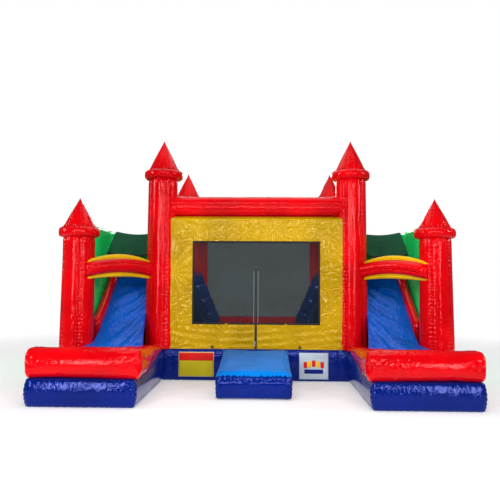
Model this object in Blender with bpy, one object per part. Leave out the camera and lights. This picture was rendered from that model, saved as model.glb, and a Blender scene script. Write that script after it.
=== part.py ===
"""Inflatable bounce house: a castle-shaped jumping room between two side slides.

The origin is on the ground under the middle of the whole unit. X runs to the right as
seen from the entrance, Y runs from the entrance to the back, Z is up. Metres.
Large air chambers are modelled as a skin with a small air port underneath.
"""
import math

import bmesh
import bpy
from mathutils import Vector

# ---------------------------------------------------------------- driving dimensions
GAP = 0.0004                # clearance between neighbouring pieces
SKIN = 0.020                # wall of a hollow air chamber
PORT_RIM = 0.20             # rim left around a chamber's air port
BASE_RIM = 0.90
TOWER_RIM = 0.10
LANE_RIM = 0.12
RAIL_RIM = 0.04
WALL_RIM = 0.07
ROUND = 24                  # sides of a round piece

TOWER_SPAN = 3.41           # main tower axes, apart both ways
TOWER_RADIUS = 0.27
SMALL_RADIUS = 0.26
BASE_HEIGHT = 0.55
FRONT_REACH = 2.54          # slide fronts, ahead of the front tower axes
SLEEVE_REACH = 0.40         # blower sleeve, behind the base

ANCHOR_Z = 0.20             # axis of an anchor ring's loop
ANCHOR_X = 2.90
LOOP_OUT = 0.016            # the loop's axis, behind the slide base's rear
LOOP_RADIUS = 0.012
RING_RADIUS = 0.026
ROD_RADIUS = 0.004

DEPTH = FRONT_REACH + TOWER_SPAN + TOWER_RADIUS + SLEEVE_REACH
Y_TOWER = FRONT_REACH - DEPTH / 2
Y_REAR = Y_TOWER + TOWER_SPAN
Y_SLIDE_FRONT = Y_TOWER - FRONT_REACH
Y_BASE_FRONT = Y_TOWER - TOWER_RADIUS
Y_BACK = Y_REAR + TOWER_RADIUS
TOWER_X = TOWER_SPAN / 2
BASE_X = TOWER_X + TOWER_RADIUS

COLLAR_Z = 3.67             # widest line of a main turret's collar
TIP_Z = 4.30
SMALL_COLLAR_Z = 2.56
SMALL_TIP_Z = 3.13
COLLAR_TUBE = 0.095         # radius of a collar's roll
COLLAR_REACH = 0.075        # how far a collar stands out past its tower

BEAM_RADIUS = 0.19
BEAM_Z = 3.09
BEAM_OFFSET = 0.04          # front and rear beams, outside the tower axes
ROOF_Z = 3.10
ROOF_THICK = 0.02

WALL_OFFSET = 0.205         # outer face of front and rear panels from the tower axes
WALL_THICK = 0.022
WALL_X = 1.504
WALL_TOP = 2.8995
WINDOW_X = 1.12
WINDOW_LOW = 0.996
WINDOW_HIGH = 2.447
MESH_THICK = 0.008
FLAP_THICK = 0.012
FLAP_LIFT = 0.007            # lets the flap's inner face swing clear of the base
DOOR_X = 0.75               # door's lower corners
DOOR_TOP = 2.055
SEAM = 0.003                # half of the gap along the zip

REAR_WINDOW_X = 1.24
REAR_WINDOW_LOW = 0.88
REAR_WINDOW_HIGH = 2.72

SIDE_IN = 1.80              # side wall, inner face
PASSAGE_FRONT = Y_TOWER + 1.20
PASSAGE_REAR = Y_TOWER + 2.60
PLATFORM_Z = 1.95
PASSAGE_TOP = 2.78

STEP_X = 0.60
STEP_LENGTH = 1.64
STEP_REAR_Z = 0.54
STEP_FRONT_Z = 0.35

SLIDE_IN = 1.62             # inner side of a slide's front part
SLIDE_OUT = 3.18
SLIDE_BASE_FRONT_Z = 0.39
SLIDE_BASE_REAR_Z = 0.57
BUMPER_Z = 0.81
BUMPER_IN = 1.58             # inner side of the bumper, proud of the slide base
BUMPER_DEPTH = 0.34
BUMPER_SIDE = 0.30
PAD_Z = 0.60                # top of the pad that a small tower stands on
SMALL_X = 2.985
SMALL_Y = Y_TOWER - 0.82
RAIL_IN = 2.69
RAIL_OUT = 2.85
RAIL_RISE = 0.11            # rail's top above the lane
OUTER_TOP = 2.72
REAR_WALL_DEPTH = 0.25
HOOD_THICK = 0.02

ARCH_RADIUS = 0.13
ARCH_END_Z = 1.90
ARCH_RISE = 0.11
ARCH_FOOT_X = SMALL_X - 0.06   # the arch meets the small tower on its front, inner side
ARCH_FOOT_Y = SMALL_Y - 0.33

# lane's top, as distance behind the front tower axes and height
LANE_TOP = [(-2.19, 0.53), (-1.50, 0.55), (-1.05, 0.67), (-0.62, 0.87), (-0.23, 1.12),
            (0.66, 1.78), (0.80, 1.87), (0.95, 1.93), (1.12, PLATFORM_Z)]

RED = (0.83, 0.004, 0.012)
BASE_BLUE = (0.005, 0.020, 0.300)
STEP_BLUE = (0.002, 0.160, 0.560)
LANE_BLUE = (0.003, 0.110, 0.560)
YELLOW = (0.720, 0.480, 0.004)
ARCH_YELLOW = (0.800, 0.400, 0.003)
LIGHT_GREEN = (0.010, 0.600, 0.080)
DARK_GREEN = (0.001, 0.100, 0.045)
NETTING = (0.012, 0.016, 0.020)
WEBBING = (0.015, 0.015, 0.017)
STEEL = (0.550, 0.550, 0.560)
PALE = (0.480, 0.560, 0.630)
CREAM = (0.700, 0.560, 0.150)


# ---------------------------------------------------------------- modelling helpers
def clear_scene():
    for item in list(bpy.data.objects):
        bpy.data.objects.remove(item, do_unlink=True)


def make_material(name, color, roughness=0.25, metallic=0.0):
    material = bpy.data.materials.get(name)
    if material:
        return material
    material = bpy.data.materials.new(name)
    material.use_nodes = True
    shader = material.node_tree.nodes["Principled BSDF"]
    shader.inputs["Base Color"].default_value = (*color, 1.0)
    shader.inputs["Roughness"].default_value = roughness
    shader.inputs["Metallic"].default_value = metallic
    material.diffuse_color = (*color, 1.0)
    return material


def to_object(name, shape, material):
    """Turn a bmesh into a named object with outward faces."""
    bmesh.ops.recalc_face_normals(shape, faces=shape.faces[:])
    mesh = bpy.data.meshes.new(name)
    shape.to_mesh(mesh)
    shape.free()
    if material:
        mesh.materials.append(material)
    item = bpy.data.objects.new(name, mesh)
    bpy.context.scene.collection.objects.link(item)
    return item


def smooth(item, angle=40):
    item.data.shade_smooth()
    item.data.set_sharp_from_angle(angle=math.radians(angle))
    return item


def in_space(axis, a, b, along):
    """Place a flat outline's point (a, b) in space, at a distance along its normal axis."""
    if axis == "X":
        return Vector((along, a, b))
    if axis == "Y":
        return Vector((a, along, b))
    return Vector((a, b, along))


def prism_shape(outline, axis, low, high):
    shape = bmesh.new()
    ends = []
    for along in (low, high):
        ends.append([shape.verts.new(in_space(axis, a, b, along)) for a, b in outline])
    count = len(outline)
    shape.faces.new(ends[0][::-1])
    shape.faces.new(ends[1])
    for i in range(count):
        j = (i + 1) % count
        shape.faces.new((ends[0][i], ends[0][j], ends[1][j], ends[1][i]))
    return shape


def prism(name, outline, axis, low, high, material=None):
    low, high = min(low, high), max(low, high)
    return to_object(name, prism_shape(outline, axis, low, high), material)


def box(name, low, high, material=None):
    xs = sorted((low[0], high[0]))
    ys = sorted((low[1], high[1]))
    outline = [(xs[0], ys[0]), (xs[1], ys[0]), (xs[1], ys[1]), (xs[0], ys[1])]
    return prism(name, outline, "Z", low[2], high[2], material)


def cylinder(name, centre, radius, low, high, axis="Z", material=None, sides=ROUND):
    outline = []
    for i in range(sides):
        turn = 2 * math.pi * (i + 0.5) / sides
        outline.append((centre[0] + radius * math.cos(turn), centre[1] + radius * math.sin(turn)))
    return prism(name, outline, axis, low, high, material)


def turned(name, profile, centre, material, sides=ROUND):
    """Turn a profile of (radius, height) about a vertical axis; it starts and ends on the axis."""
    shape = bmesh.new()
    rings = []
    for radius, height in profile:
        if radius == 0:
            rings.append([shape.verts.new((centre[0], centre[1], height))])
            continue
        ring = []
        for i in range(sides):
            turn = 2 * math.pi * (i + 0.5) / sides
            x = centre[0] + radius * math.cos(turn)
            y = centre[1] + radius * math.sin(turn)
            ring.append(shape.verts.new((x, y, height)))
        rings.append(ring)
    for lower, upper in zip(rings, rings[1:]):
        for i in range(sides):
            j = (i + 1) % sides
            corners = []
            for vert in (lower[i % len(lower)], lower[j % len(lower)],
                         upper[j % len(upper)], upper[i % len(upper)]):
                if vert not in corners:
                    corners.append(vert)
            shape.faces.new(corners)
    return smooth(to_object(name, shape, material))


def combine(target, others, operation):
    """Join or cut a solid with others, which are used up."""
    for other in others:
        modifier = target.modifiers.new("combine", "BOOLEAN")
        modifier.operation = operation
        modifier.solver = "EXACT"
        modifier.object = other
    result = bpy.data.meshes.new_from_object(
        target.evaluated_get(bpy.context.evaluated_depsgraph_get()))
    target.modifiers.clear()
    target.data = result
    for other in others:
        bpy.data.objects.remove(other, do_unlink=True)
    return target


def soften(item, width, segments=2, angle=35):
    modifier = item.modifiers.new("rounded edges", "BEVEL")
    modifier.width = width
    modifier.segments = segments
    modifier.limit_method = "ANGLE"
    modifier.angle_limit = math.radians(angle)
    return item


def hollow(item, rim=PORT_RIM):
    """Leave a skin: open an air port in the underside, then give the faces a thickness."""
    shape = bmesh.new()
    shape.from_mesh(item.data)
    bmesh.ops.remove_doubles(shape, verts=shape.verts[:], dist=0.00002)
    bmesh.ops.dissolve_limit(shape, angle_limit=math.radians(0.5), verts=shape.verts[:],
                             edges=shape.edges[:])
    shape.normal_update()
    flat = [face for face in shape.faces if face.normal.z < -0.99]
    floor = max(flat, key=lambda face: face.calc_area())
    bmesh.ops.inset_region(shape, faces=[floor], thickness=rim, use_even_offset=True)
    bmesh.ops.delete(shape, geom=[floor], context="FACES")
    shape.to_mesh(item.data)
    shape.free()
    modifier = item.modifiers.new("skin", "SOLIDIFY")
    modifier.thickness = SKIN
    modifier.offset = -1
    modifier.use_even_offset = True
    return item


def mirrored(points, side):
    return [(side * a, b) for a, b in points]


def tower_cutter(side, y, small=False):
    radius = (SMALL_RADIUS if small else TOWER_RADIUS) + GAP / math.cos(math.pi / ROUND)
    x = side * (SMALL_X if small else TOWER_X)
    return cylinder("cutter", (x, y), radius, 0, 5)


# ---------------------------------------------------------------- main body
def make_base():
    blue = make_material("base_blue", BASE_BLUE)
    outline = [(-BASE_X, Y_BASE_FRONT), (BASE_X, Y_BASE_FRONT), (BASE_X, Y_BACK), (-BASE_X, Y_BACK)]
    hollow(prism("base_chamber", outline, "Z", 0, BASE_HEIGHT, blue), BASE_RIM)


def make_step():
    blue = make_material("step_blue", STEP_BLUE)
    rear = Y_BASE_FRONT - GAP
    front = Y_BASE_FRONT - STEP_LENGTH
    outline = [(rear, 0), (rear, STEP_REAR_Z), (front + 0.12, STEP_FRONT_Z + 0.015),
               (front + 0.035, STEP_FRONT_Z - 0.03), (front, STEP_FRONT_Z - 0.12), (front, 0)]
    hollow(prism("entrance_step", outline, "X", -STEP_X, STEP_X, blue))


def turret_profile(radius, collar_z, tip_z):
    profile = [(0, collar_z - COLLAR_TUBE), (radius - 0.02, collar_z - COLLAR_TUBE)]
    for step in range(1, 7):
        turn = math.radians(-90 + 180 * step / 7)
        reach = radius - 0.02 + COLLAR_TUBE * math.cos(turn)
        profile.append((reach, collar_z + COLLAR_TUBE * math.sin(turn)))
    base = collar_z + COLLAR_TUBE
    profile += [(radius - 0.02, base), (radius * 0.5, (base + tip_z) / 2), (0, tip_z)]
    return profile


def make_tower(name, x, y, radius, low, collar_z, tip_z):
    red = make_material("red_vinyl", RED)
    top = collar_z - COLLAR_TUBE - GAP
    tower = cylinder("tower_" + name, (x, y), radius, low + GAP, top, material=red)
    smooth(hollow(tower, TOWER_RIM))
    turned("turret_" + name, turret_profile(radius, collar_z, tip_z), (x, y), red)


def make_main_towers():
    for side, side_name in ((-1, "left"), (1, "right")):
        for y, end_name in ((Y_TOWER, "front"), (Y_REAR, "rear")):
            make_tower(end_name + "_" + side_name, side * TOWER_X, y, TOWER_RADIUS,
                       BASE_HEIGHT, COLLAR_Z, TIP_Z)


def make_beams():
    red = make_material("red_vinyl", RED)
    for y, name in ((Y_TOWER - BEAM_OFFSET, "front"), (Y_REAR + BEAM_OFFSET, "rear")):
        beam = cylinder("beam_" + name, (y, BEAM_Z), BEAM_RADIUS, -TOWER_X, TOWER_X, "X", red, 16)
        tower_y = Y_TOWER if name == "front" else Y_REAR
        combine(beam, [tower_cutter(-1, tower_y), tower_cutter(1, tower_y)], "DIFFERENCE")
        smooth(beam)
    for side, name in ((-1, "left"), (1, "right")):
        beam = cylinder("beam_" + name, (side * TOWER_X, BEAM_Z), BEAM_RADIUS,
                        Y_TOWER, Y_REAR, "Y", red, 16)
        combine(beam, [tower_cutter(side, Y_TOWER), tower_cutter(side, Y_REAR)], "DIFFERENCE")
        smooth(beam)


def make_roof():
    yellow = make_material("yellow_vinyl", YELLOW)
    x = TOWER_X - BEAM_RADIUS - GAP
    front = Y_TOWER - BEAM_OFFSET + BEAM_RADIUS + GAP
    rear = Y_REAR + BEAM_OFFSET - BEAM_RADIUS - GAP
    roof = box("roof_cover", (-x, front, ROOF_Z - ROOF_THICK / 2),
               (x, rear, ROOF_Z + ROOF_THICK / 2), yellow)
    corners = [tower_cutter(side, y) for side in (-1, 1) for y in (Y_TOWER, Y_REAR)]
    combine(roof, corners, "DIFFERENCE")


def make_front_wall():
    """Yellow panel with a window, and a door slit that runs up into the window."""
    yellow = make_material("yellow_vinyl", YELLOW)
    face = Y_TOWER - WALL_OFFSET
    low = BASE_HEIGHT + GAP
    cut = crease_x(WINDOW_LOW)
    half = [(DOOR_X + GAP * 2, low), (cut + GAP * 2, WINDOW_LOW), (WINDOW_X, WINDOW_LOW),
            (WINDOW_X, WINDOW_HIGH)]
    outline = [(WALL_X, low), (WALL_X, WALL_TOP), (-WALL_X, WALL_TOP), (-WALL_X, low)]
    outline += mirrored(half, -1) + half[::-1]
    prism("front_wall", outline, "Y", face, face + WALL_THICK, yellow)


def crease_x(z):
    """Distance of the door's fold line from the middle, at a height."""
    return DOOR_X * (DOOR_TOP - z) / (DOOR_TOP - BASE_HEIGHT)


def make_window_mesh():
    net = make_material("netting", NETTING, 0.6)
    face = Y_TOWER - WALL_OFFSET + 0.002
    x = WINDOW_X - GAP
    low = WINDOW_LOW + GAP
    cut = crease_x(WINDOW_LOW) + GAP * 2
    outline = [(cut, low), (x, low), (x, WINDOW_HIGH - GAP), (-x, WINDOW_HIGH - GAP),
               (-x, low), (-cut, low), (0, DOOR_TOP + GAP * 5)]
    prism("window_mesh", outline, "Y", face, face + MESH_THICK, net)


def make_door():
    """Two triangular flaps, each a yellow lower panel with a netting upper panel."""
    yellow = make_material("yellow_vinyl", YELLOW)
    net = make_material("netting", NETTING, 0.6)
    face = Y_TOWER - WALL_OFFSET
    low = BASE_HEIGHT + FLAP_LIFT
    split = WINDOW_LOW
    fold = GAP * 3
    for side, name in ((-1, "left"), (1, "right")):
        panel = [(SEAM, low), (crease_x(low) - fold, low), (crease_x(split) - fold, split), (SEAM, split)]
        prism("door_flap_" + name, mirrored(panel, side), "Y", face, face + FLAP_THICK, yellow)
        edge = split + GAP
        tip = DOOR_TOP - 0.02
        insert = [(SEAM, edge), (crease_x(edge) - fold, edge), (crease_x(tip) - fold, tip), (SEAM, tip)]
        prism("door_mesh_" + name, mirrored(insert, side), "Y", face, face + MESH_THICK, net)


SLIDER_X = -0.016
SLIDER_LOW = 0.640
SLIDER_HIGH = 0.685
SLIDER_DEPTH = 0.014
TAB_PIVOT_Z = 0.650
TAB_LENGTH = 0.055
TAB_THICK = 0.003
TAB_FRONT = Y_TOWER - WALL_OFFSET - SLIDER_DEPTH - 0.004


def make_zip_pull():
    """The zip's slider rides on the left flap's tape; its pull tab hangs from a pin in front."""
    steel = make_material("steel", STEEL, 0.3, 1.0)
    face = Y_TOWER - WALL_OFFSET
    slider = box("zip_slider", (SLIDER_X - 0.011, face - SLIDER_DEPTH, SLIDER_LOW),
                 (SLIDER_X + 0.011, face - GAP, SLIDER_HIGH), steel)
    soften(slider, 0.002, 1)
    outline = [(SLIDER_X - 0.005, TAB_PIVOT_Z + TAB_THICK / 2), (SLIDER_X - 0.009, TAB_PIVOT_Z - TAB_LENGTH),
               (SLIDER_X + 0.009, TAB_PIVOT_Z - TAB_LENGTH), (SLIDER_X + 0.005, TAB_PIVOT_Z + TAB_THICK / 2)]
    prism("zip_pull_tab", outline, "Y", TAB_FRONT, TAB_FRONT + TAB_THICK, steel)


def make_rear_wall():
    red = make_material("red_vinyl", RED)
    net = make_material("netting", NETTING, 0.6)
    outer = Y_REAR + WALL_OFFSET
    inner = outer - WALL_THICK
    wall = box("rear_wall", (-WALL_X, inner, BASE_HEIGHT + GAP), (WALL_X, outer, WALL_TOP), red)
    hole = box("cutter", (-REAR_WINDOW_X, inner - 1, REAR_WINDOW_LOW),
               (REAR_WINDOW_X, outer + 1, REAR_WINDOW_HIGH))
    combine(wall, [hole], "DIFFERENCE")
    x = REAR_WINDOW_X - GAP
    middle = (inner + outer - MESH_THICK) / 2
    box("rear_window_mesh", (-x, middle, REAR_WINDOW_LOW + GAP),
        (x, middle + MESH_THICK, REAR_WINDOW_HIGH - GAP), net)


def make_side_walls():
    """Side walls with a passage from the top of each climbing ramp to its slide."""
    yellow = make_material("yellow_vinyl", YELLOW)
    front = Y_TOWER + TOWER_RADIUS + GAP
    rear = Y_REAR - TOWER_RADIUS - GAP
    for side, name in ((-1, "left"), (1, "right")):
        wall = box("side_wall_" + name, (side * SIDE_IN, front, BASE_HEIGHT + GAP),
                   (side * (BASE_X - GAP), rear, WALL_TOP), yellow)
        hole = box("cutter", (side * (SIDE_IN - 1), PASSAGE_FRONT, PLATFORM_Z),
                   (side * (BASE_X + 1), PASSAGE_REAR, PASSAGE_TOP))
        beam = cylinder("cutter", (side * TOWER_X, BEAM_Z), BEAM_RADIUS + 3 * GAP,
                        front - 1, rear + 1, "Y", None, 16)
        combine(wall, [hole, beam], "DIFFERENCE")


RAMP_FOOT_X = 0.72
RAMP_HEAD_X = 1.31


def make_climbing_ramps():
    blue = make_material("base_blue", BASE_BLUE)
    low = BASE_HEIGHT + GAP
    front = Y_TOWER + 1.0
    rear = Y_TOWER + 2.8
    outline = [(RAMP_FOOT_X, low), (SIDE_IN - GAP, low), (SIDE_IN - GAP, PLATFORM_Z),
               (RAMP_HEAD_X, PLATFORM_Z)]
    for side, name in ((-1, "left"), (1, "right")):
        hollow(prism("climb_ramp_" + name, mirrored(outline, side), "Y", front, rear, blue))


def make_signs():
    """A two-colour notice panel and a pale label panel on the base's front."""
    cream = make_material("sign_cream", CREAM, 0.35)
    pale = make_material("label_pale", PALE, 0.35)
    rear = Y_BASE_FRONT - GAP
    box("notice_panel", (-1.354, rear - 0.006, 0.07), (-0.733, rear, 0.50), cream)
    box("label_panel", (0.763, rear - 0.006, 0.04), (1.273, rear, 0.50), pale)


SLEEVE_X = -1.20
SLEEVE_Z = 0.28
SLEEVE_RADIUS = 0.140
SLEEVE_WALL = 0.006


def make_ring(name, radius, wall, low, high, material, sides=16):
    """A short open tube along Y."""
    outer = cylinder(name, (SLEEVE_X, SLEEVE_Z), radius, low, high, "Y", material, sides)
    bore = cylinder("cutter", (SLEEVE_X, SLEEVE_Z), radius - wall, low - 1, high + 1, "Y", None, sides)
    return smooth(combine(outer, [bore], "DIFFERENCE"))


def make_blower_sleeve():
    blue = make_material("base_blue", BASE_BLUE)
    webbing = make_material("webbing", WEBBING, 0.8)
    make_ring("blower_sleeve", SLEEVE_RADIUS, SLEEVE_WALL, Y_BACK + GAP, Y_BACK + SLEEVE_REACH, blue)
    strap_low = Y_BACK + SLEEVE_REACH - 0.10
    make_ring("sleeve_strap", SLEEVE_RADIUS + 0.005, 0.0045, strap_low, strap_low + 0.05, webbing)


# ---------------------------------------------------------------- slides
def base_top(y):
    """Height of a slide base's top at a distance from front to back."""
    start = Y_TOWER - 1.90
    share = min(max((y - start) / (Y_BASE_FRONT - start), 0), 1)
    return SLIDE_BASE_FRONT_Z + share * (SLIDE_BASE_REAR_Z - SLIDE_BASE_FRONT_Z)


def floor_line(low, high):
    """Points along a slide base's top, with the clearance above it."""
    stops = [low, Y_TOWER - 1.90, Y_BASE_FRONT, high]
    return [(y, base_top(y) + GAP) for y in stops if low <= y <= high]


def make_slide_base(side, name):
    blue = make_material("base_blue", BASE_BLUE)
    top = [(y, z - GAP) for y, z in floor_line(Y_SLIDE_FRONT, Y_BACK)]
    outline = [(Y_SLIDE_FRONT, 0)] + top + [(Y_BACK, 0)]
    base = prism("slide_base_" + name, outline, "X", side * SLIDE_IN, side * SLIDE_OUT, blue)
    corner = box("cutter", (0, Y_BASE_FRONT - GAP, -1), (side * (BASE_X + GAP), Y_BACK + 1, 2))
    combine(base, [corner], "DIFFERENCE")
    hollow(base)


def make_bumper(side, name):
    """Front roll and two side walls that fall away towards the towers."""
    red = make_material("red_vinyl", RED)
    inner_end = Y_BASE_FRONT - GAP
    pad_front = SMALL_Y - 0.28
    pad_rear = SMALL_Y + 0.28
    roll_rear = Y_SLIDE_FRONT + BUMPER_DEPTH
    bottom = SLIDE_BASE_FRONT_Z + GAP
    inset = 0.06
    roll = [(Y_SLIDE_FRONT, bottom + inset), (Y_SLIDE_FRONT + inset, bottom), (roll_rear, bottom),
            (roll_rear, BUMPER_Z - inset / 2), (roll_rear - inset, BUMPER_Z),
            (Y_SLIDE_FRONT + 2 * inset, BUMPER_Z), (Y_SLIDE_FRONT + inset / 2, BUMPER_Z - inset),
            (Y_SLIDE_FRONT, BUMPER_Z - 2 * inset)]
    bumper = prism("bumper_" + name, roll, "X", side * BUMPER_IN, side * SLIDE_OUT, red)
    start = roll_rear - 0.10
    inner = [(start, bottom)] + floor_line(start, inner_end)[1:]
    inner += [(inner_end, PAD_Z), (start, BUMPER_Z - 0.03)]
    inner_wall = prism("part", inner, "X", side * BUMPER_IN, side * (SLIDE_IN + BUMPER_SIDE), None)
    outer = [(start, bottom)] + floor_line(start, pad_front + 0.02)[1:]
    outer += [(pad_front + 0.02, PAD_Z), (start, BUMPER_Z - 0.03)]
    outer_wall = prism("part", outer, "X", side * (SLIDE_OUT - BUMPER_SIDE), side * SLIDE_OUT, None)
    pad = floor_line(pad_front, pad_rear) + [(pad_rear, PAD_Z), (pad_front, PAD_Z)]
    pad_block = prism("part", pad, "X", side * RAIL_IN, side * SLIDE_OUT, None)
    combine(bumper, [inner_wall, outer_wall, pad_block], "UNION")


def lane_outline(low, high, rise):
    """Side view of the lane between two distances, with its top raised by rise."""
    top = [(Y_TOWER + along, z + rise) for along, z in LANE_TOP]
    top.append((Y_BACK - REAR_WALL_DEPTH - GAP, PLATFORM_Z + rise))
    line = [(low, height_on(top, low))] + [point for point in top if low < point[0] < high]
    line.append((high, height_on(top, high)))
    return floor_line(low, high) + line[::-1]


def height_on(line, y):
    for (y0, z0), (y1, z1) in zip(line, line[1:]):
        if y0 <= y <= y1:
            return z0 + (z1 - z0) * (y - y0) / (y1 - y0)
    return line[-1][1] if y > line[-1][0] else line[0][1]


def make_lane(side, name):
    blue = make_material("lane_blue", LANE_BLUE)
    start = Y_SLIDE_FRONT + BUMPER_DEPTH + GAP
    landing_end = SMALL_Y - 0.28 - GAP
    end = Y_BACK - REAR_WALL_DEPTH - GAP
    lane = prism("slide_lane_" + name, lane_outline(start, end, 0), "X",
                 side * (BASE_X + GAP), side * (RAIL_IN - GAP), blue)
    landing = prism("part", lane_outline(start, landing_end, 0), "X",
                    side * (SLIDE_IN + BUMPER_SIDE + GAP), side * (SLIDE_OUT - BUMPER_SIDE - GAP), None)
    combine(lane, [landing], "UNION")
    hollow(lane, LANE_RIM)


def make_rail(side, name):
    red = make_material("red_vinyl", RED)
    outline = lane_outline(SMALL_Y + 0.28 + GAP, Y_BACK - REAR_WALL_DEPTH - GAP, RAIL_RISE)
    rail = prism("rail_" + name, outline, "X", side * RAIL_IN, side * (RAIL_OUT - GAP), red)
    hollow(rail, RAIL_RIM)


def make_slide_walls(side, name):
    green = make_material("light_green", LIGHT_GREEN)
    front = SMALL_Y + 0.36
    outline = floor_line(front, Y_BACK) + [(Y_BACK, OUTER_TOP), (front + 0.05, OUTER_TOP),
                                           (front, OUTER_TOP - 0.05)]
    wall = prism("slide_outer_wall_" + name, outline, "X", side * RAIL_OUT, side * SLIDE_OUT, green)
    hollow(wall, WALL_RIM)
    rear = box("slide_rear_wall_" + name, (side * (BASE_X + GAP), Y_BACK - REAR_WALL_DEPTH,
                                           SLIDE_BASE_REAR_Z + GAP),
               (side * (RAIL_OUT - GAP), Y_BACK, OUTER_TOP), green)
    hollow(rear, WALL_RIM)


HOOD_FRONT = 0.50           # hood's front edge, behind the front tower axes
HOOD_FRONT_Z = 2.24
HOOD_BEND = 1.17
HOOD_TOP_Z = 2.70


def make_hood(side, name):
    """Canopy over the slide's upper part: a sloped front and a flat top."""
    green = make_material("dark_green", DARK_GREEN, 0.5)
    rear = Y_BACK - REAR_WALL_DEPTH - GAP
    under = [(Y_TOWER + HOOD_FRONT, HOOD_FRONT_Z), (Y_TOWER + HOOD_BEND, HOOD_TOP_Z - HOOD_THICK),
             (rear, HOOD_TOP_Z - HOOD_THICK)]
    over = [(rear, HOOD_TOP_Z), (Y_TOWER + HOOD_BEND - 0.006, HOOD_TOP_Z),
            (Y_TOWER + HOOD_FRONT - 0.012, HOOD_FRONT_Z + HOOD_THICK * 0.6)]
    prism("hood_" + name, under + over, "X", side * (BASE_X + GAP), side * (RAIL_OUT - GAP), green)


def swept_arch(name, section, material, side):
    """Sweep a closed section of (sideways, upward) offsets along the arch between two towers."""
    shape = bmesh.new()
    start = Vector((side * TOWER_X, Y_TOWER, 0))
    finish = Vector((side * ARCH_FOOT_X, ARCH_FOOT_Y, 0))
    forward = (finish - start).normalized()
    behind = Vector((0, 0, 1)).cross(forward) * side
    steps = 12
    margin = 0.115                  # share left off at each end, where the towers are
    rings = []
    for step in range(steps + 1):
        share = margin + (1 - 2 * margin) * step / steps
        rise = ARCH_RISE * (1 - (2 * share - 1) ** 2)
        middle = start.lerp(finish, share) + Vector((0, 0, ARCH_END_Z + rise))
        slope = math.atan(-4 * ARCH_RISE * (2 * share - 1) / (finish - start).length)
        up = Vector((0, 0, 1)) * math.cos(slope) - forward * math.sin(slope)
        rings.append([shape.verts.new(middle + behind * a + up * b) for a, b in section])
    count = len(section)
    for lower, upper in zip(rings, rings[1:]):
        for i in range(count):
            j = (i + 1) % count
            shape.faces.new((lower[i], lower[j], upper[j], upper[i]))
    shape.faces.new(rings[0][::-1])
    shape.faces.new(rings[-1])
    return to_object(name, shape, material)


def make_arch(side, name):
    red = make_material("red_vinyl", RED)
    yellow = make_material("arch_yellow", ARCH_YELLOW)
    sides = 12
    round_section = [(ARCH_RADIUS * math.cos(2 * math.pi * (i + 0.5) / sides),
                      ARCH_RADIUS * math.sin(2 * math.pi * (i + 0.5) / sides)) for i in range(sides)]
    near = ARCH_RADIUS + GAP
    strip = [(near, -0.20), (near + 0.05, -0.20), (near + 0.05, 0.20), (near, 0.20)]
    for piece, section, material in (("arch_", round_section, red), ("arch_backing_", strip, yellow)):
        arch = swept_arch(piece + name, section, material, side)
        combine(arch, [tower_cutter(side, Y_TOWER), tower_cutter(side, SMALL_Y, True)], "DIFFERENCE")
        smooth(arch)


def make_anchor(side, name):
    """A webbing patch with a loop, and a steel D-ring that swings in the loop."""
    webbing = make_material("webbing", WEBBING, 0.8)
    steel = make_material("steel", STEEL, 0.3, 1.0)
    x = side * ANCHOR_X
    face = Y_BACK + GAP
    axis_y = Y_BACK + LOOP_OUT
    tab = box("anchor_tab_" + name, (x - 0.04, face, ANCHOR_Z - 0.012),
              (x + 0.04, face + 0.005, ANCHOR_Z + 0.11), webbing)
    loop = cylinder("part", (axis_y, ANCHOR_Z), LOOP_RADIUS, x - 0.012, x + 0.012, "X", None, 12)
    hole = cylinder("cutter", (axis_y, ANCHOR_Z), 0.0075, x - 1, x + 1, "X", None, 12)
    combine(tab, [loop], "UNION")
    combine(tab, [hole], "DIFFERENCE")
    curve = bpy.data.curves.new("anchor_ring_" + name, "CURVE")
    curve.dimensions = "3D"
    curve.bevel_depth = ROD_RADIUS
    curve.bevel_resolution = 1
    curve.render_resolution_u = 0
    path = [(-RING_RADIUS, 0), (0, 0), (RING_RADIUS, 0)]
    for step in range(1, 10):
        turn = math.radians(-180 * step / 10)
        path.append((RING_RADIUS * math.cos(turn), -0.008 + RING_RADIUS * math.sin(turn)))
    spline = curve.splines.new("POLY")
    spline.points.add(len(path) - 1)
    for point, (across, up) in zip(spline.points, path):
        point.co = (across, 0, up, 1)
    spline.use_cyclic_u = True
    curve.materials.append(steel)
    ring = bpy.data.objects.new("anchor_ring_" + name, curve)
    bpy.context.scene.collection.objects.link(ring)
    ring.location = (x, axis_y, ANCHOR_Z)


def make_slides():
    for side, name in ((-1, "left"), (1, "right")):
        make_slide_base(side, name)
        make_bumper(side, name)
        make_lane(side, name)
        make_rail(side, name)
        make_slide_walls(side, name)
        make_hood(side, name)
        make_tower("slide_" + name, side * SMALL_X, SMALL_Y, SMALL_RADIUS, PAD_Z,
                   SMALL_COLLAR_Z, SMALL_TIP_Z)
        make_arch(side, name)
        make_anchor(side, name)


clear_scene()
make_base()
make_step()
make_main_towers()
make_beams()
make_roof()
make_front_wall()
make_window_mesh()
make_door()
make_zip_pull()
make_rear_wall()
make_side_walls()
make_climbing_ramps()
make_signs()
make_blower_sleeve()
make_slides()
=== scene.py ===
"""Looks of the inflatable bounce house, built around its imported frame."""

import math
from functools import cache

import bmesh
import bpy
import numpy as np
from mathutils import Matrix, Vector


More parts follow.
